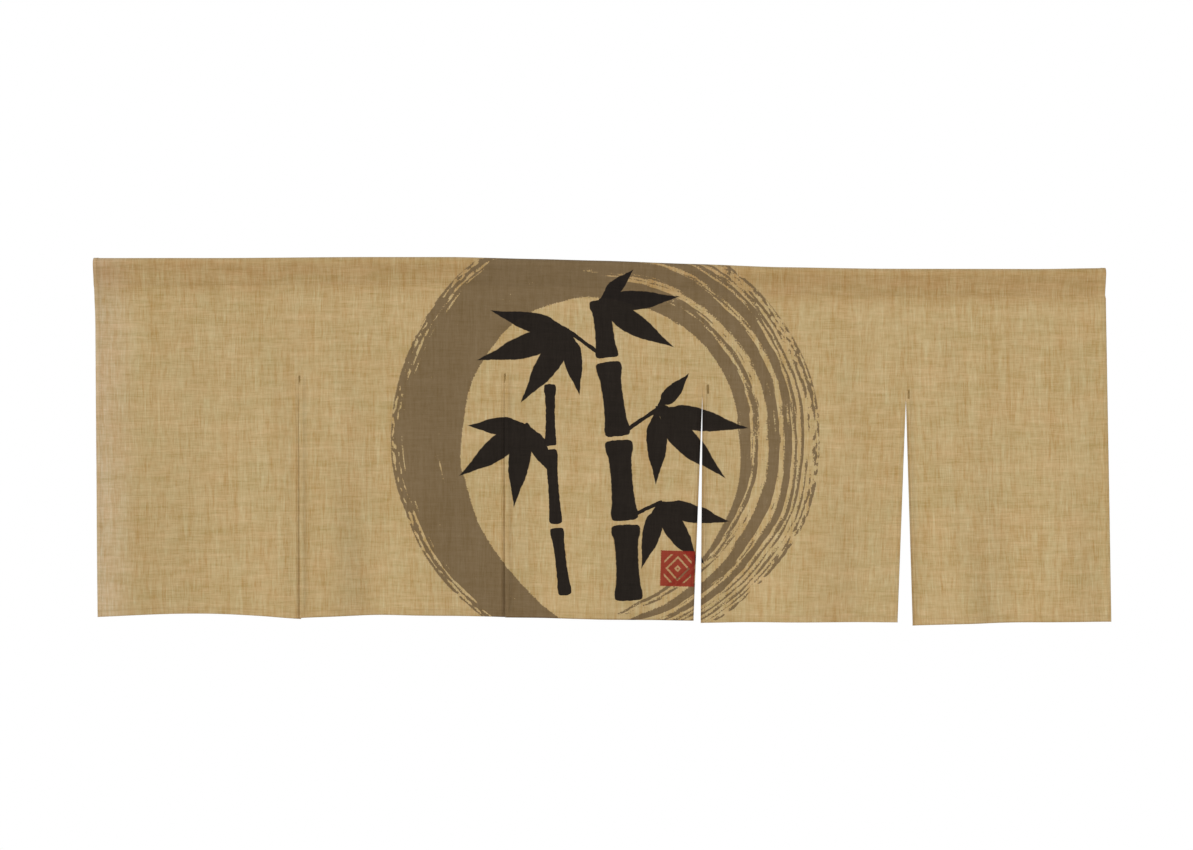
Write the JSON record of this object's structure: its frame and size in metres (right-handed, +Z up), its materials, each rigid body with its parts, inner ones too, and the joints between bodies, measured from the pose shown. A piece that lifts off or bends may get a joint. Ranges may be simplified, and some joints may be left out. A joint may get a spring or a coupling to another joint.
{
  "type": "noren curtain",
  "caption": "Short split door curtain of slubby linen-look cloth, with a pole sleeve along its top edge, slits up from its bottom edge and a brushed ring print.",
  "frame": {"origin": "middle of the top edge, where the sleeve's folded edge hangs on its pole", "axes": "+X along the width, to the right of someone who faces the printed front; +Z up; the printed front looks along -Y"},
  "size_m": [1.713, 0.0277, 0.6117],
  "materials": {
    "noren_cloth": "matte",
    "sleeve_cloth": "matte"
  },
  "bodies": {
    "root": {"pole_sleeve": "sleeve_cloth", "noren_cloth": "noren_cloth"}
  },
  "joints": []
}
